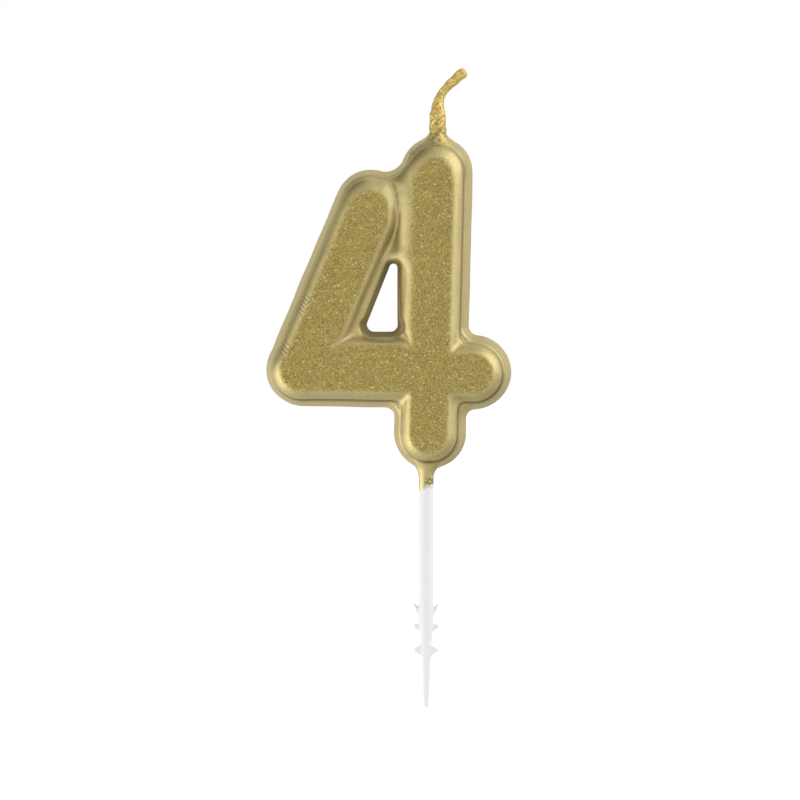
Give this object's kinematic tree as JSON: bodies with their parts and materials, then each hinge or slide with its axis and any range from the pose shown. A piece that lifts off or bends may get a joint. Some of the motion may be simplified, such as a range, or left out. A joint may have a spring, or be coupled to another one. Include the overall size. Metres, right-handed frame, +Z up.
{
  "type": "number birthday candle",
  "caption": "Cast wax candle in the shape of a figure 4, metallic gold, with a bent wick at the top and a white barbed pick below for standing it in a cake.",
  "frame": {"origin": "on the pick's axis, level with the lowest point of the figure 4, where the top of the cake comes; at mid depth of the rim", "axes": "+Z up along the pick, from its point to the wick; +X to the right and -Y to the front as the 4 is read; +Y out of the flat back"},
  "size_m": [0.0518, 0.0088, 0.1345],
  "materials": {
    "gold_wax": "satin metallic gold lacquer over wax",
    "wick_wax": "gold lacquer over waxed cotton, glittery",
    "wick_cotton": "twisted cotton yarn, soaked in wax",
    "pick_plastic": "semi-gloss white, with gold overspray at the neck"
  },
  "bodies": {
    "root": {"wax_figure": "gold_wax", "wick_wax_coat": "wick_wax", "wick_ply_1": "wick_cotton", "wick_ply_2": "wick_cotton", "wick_ply_3": "wick_cotton", "cake_pick": "pick_plastic"}
  },
  "joints": []
}
